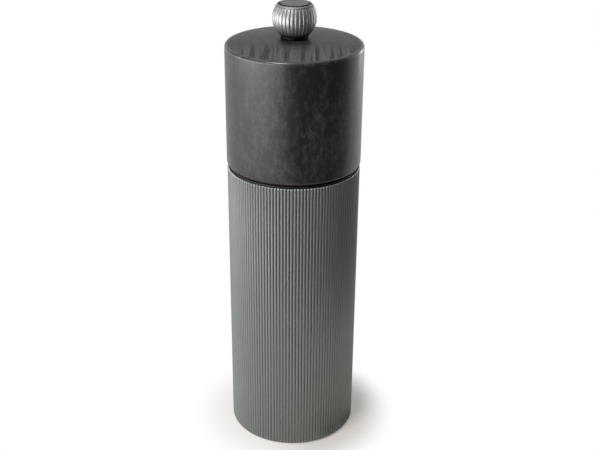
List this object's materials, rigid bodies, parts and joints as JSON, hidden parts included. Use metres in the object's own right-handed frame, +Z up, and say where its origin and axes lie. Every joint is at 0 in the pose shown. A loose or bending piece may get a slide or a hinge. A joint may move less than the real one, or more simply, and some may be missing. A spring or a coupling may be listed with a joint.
{
  "type": "pepper mill",
  "caption": "Upright pepper mill: ribbed metal body, domed wooden head that turns to grind, fluted metal knob that sets the grind, steel burrs in the base.",
  "frame": {"origin": "middle of the foot on the table", "axes": "+Z up along the mill's axis, +X to the right and -Y towards the front"},
  "size_m": [0.0524, 0.0524, 0.18],
  "materials": {
    "sleeve": "satin dark grey anodised, fine upright ribs",
    "head_wood": "graphite-grey stained beech under a satin lacquer",
    "knob_metal": "satin nickel plating",
    "black_plastic": "moulded black, fine matt",
    "plate_steel": "bright stamped and drawn steel",
    "burr_steel": "hardened grey steel with cut teeth",
    "brass": "plain turned brass"
  },
  "bodies": {
    "mill_body": {"body_sleeve": "sleeve", "body_liner": "black_plastic", "base_plug": "black_plastic", "outer_burr": "burr_steel", "retainer_plate": "plate_steel", "retainer_screws": "plate_steel", "bearing_bridge": "plate_steel", "bridge_bush": "brass", "burr_spring": "plate_steel"},
    "spring_seat": {"spring_washer": "plate_steel"},
    "shaft": {"drive_shaft": "plate_steel", "inner_burr": "burr_steel", "burr_washer": "plate_steel", "burr_nut": "plate_steel", "shaft_clip": "plate_steel"},
    "slip_ring": {"slip_ring": "black_plastic"},
    "head": {"head_block": "head_wood", "head_insert": "black_plastic", "drive_plate": "plate_steel", "drive_plate_screws": "plate_steel"},
    "knob_seat": {"knob_washer": "black_plastic"},
    "knob": {"knob_shell": "knob_metal", "knob_brass": "brass", "knob_disc": "knob_metal"}
  },
  "joints": [
    {"name": "head_lift", "type": "slide", "parent": "mill_body", "child": "slip_ring", "axis": [0, 0, 1], "range_m": [0, 0.075]},
    {"name": "head_turn", "type": "hinge", "parent": "slip_ring", "child": "head", "pos_m": [0, 0, 0.1183], "axis": [0, 0, 1], "continuous": true},
    {"name": "knob_lift", "type": "slide", "parent": "head", "child": "knob_seat", "axis": [0, 0, 1], "range_m": [0, 0.02]},
    {"name": "knob_turn", "type": "hinge", "parent": "knob_seat", "child": "knob", "pos_m": [0, 0, 0.1676], "axis": [0, 0, 1], "range_deg": [0, 900]},
    {"name": "burr_drop", "type": "slide", "parent": "mill_body", "child": "spring_seat", "axis": [0, 0, -1], "range_m": [0, 0.002], "deforming": ["burr_spring"]},
    {"name": "shaft_turn", "type": "hinge", "parent": "spring_seat", "child": "shaft", "pos_m": [0, 0, 0.0335], "axis": [0, 0, 1], "continuous": true}
  ],
  "couplings": [
    {"joint": "burr_drop", "follows": "knob_turn", "m_per_rad": 0.00012732},
    {"joint": "shaft_turn", "follows": "head_turn", "ratio": 1}
  ]
}
